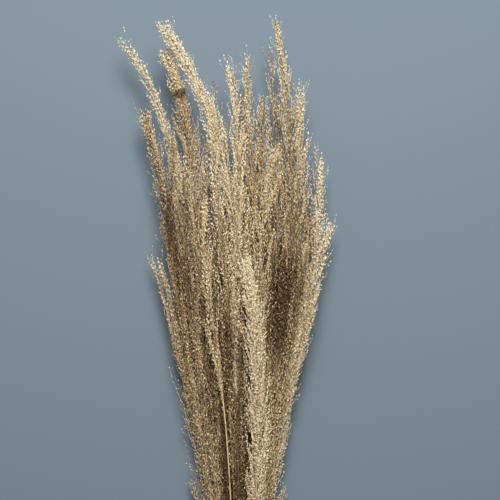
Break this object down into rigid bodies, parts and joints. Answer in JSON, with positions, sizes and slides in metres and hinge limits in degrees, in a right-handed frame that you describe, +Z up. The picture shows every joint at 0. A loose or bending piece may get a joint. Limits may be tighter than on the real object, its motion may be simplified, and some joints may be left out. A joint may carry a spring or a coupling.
{
  "type": "bundle of dried bent grass",
  "caption": "Bundle of dried bent grass with long feathery heads, tied with twine near its cut ends and laid down on a surface.",
  "frame": {"origin": "on the surface that the bundle lies on, under the middle of its box", "axes": "+Y from the cut ends to the tips, +Z up, +X to the right when the tips point away"},
  "size_m": [0.2124, 0.7198, 0.0937],
  "materials": {
    "straw_pale": "dry, matte, pale cream straw",
    "straw_golden": "dry, matte, golden straw",
    "straw_brown": "dry, matte, weathered brown straw",
    "twine": "coarse jute twine"
  },
  "bodies": {
    "root": {"stem_01": "straw_golden", "stem_02": "straw_pale", "stem_03": "straw_brown", "stem_04": "straw_brown", "stem_05": "straw_golden", "stem_06": "straw_brown", "stem_07": "straw_brown", "stem_08": "straw_pale", "stem_09": "straw_golden", "stem_10": "straw_golden", "stem_11": "straw_brown", "stem_12": "straw_golden", "stem_13": "straw_pale", "stem_14": "straw_golden", "stem_15": "straw_pale", "stem_16": "straw_pale", "stem_17": "straw_pale", "stem_18": "straw_golden", "stem_19": "straw_pale", "stem_20": "straw_golden", "stem_21": "straw_golden", "stem_22": "straw_pale", "stem_23": "straw_golden", "stem_24": "straw_brown", "stem_25": "straw_pale", "stem_26": "straw_golden", "stem_27": "straw_brown", "stem_28": "straw_pale", "stem_29": "straw_golden", "stem_30": "straw_brown", "stem_31": "straw_pale", "stem_32": "straw_golden", "stem_33": "straw_brown", "stem_34": "straw_pale", "stem_35": "straw_golden", "stem_36": "straw_brown", "stem_37": "straw_pale", "stem_38": "straw_golden", "stem_39": "straw_brown", "stem_40": "straw_pale", "stem_41": "straw_golden", "stem_42": "straw_brown", "stem_43": "straw_pale", "stem_44": "straw_golden", "stem_45": "straw_brown", "stem_46": "straw_pale", "stem_47": "straw_golden", "stem_48": "straw_brown", "stem_49": "straw_pale", "stem_50": "straw_golden", "stem_51": "straw_brown", "stem_52": "straw_pale", "stem_53": "straw_golden", "stem_54": "straw_brown", "stem_55": "straw_pale", "stem_56": "straw_golden", "stem_57": "straw_brown", "twine_tie": "twine"}
  },
  "joints": []
}
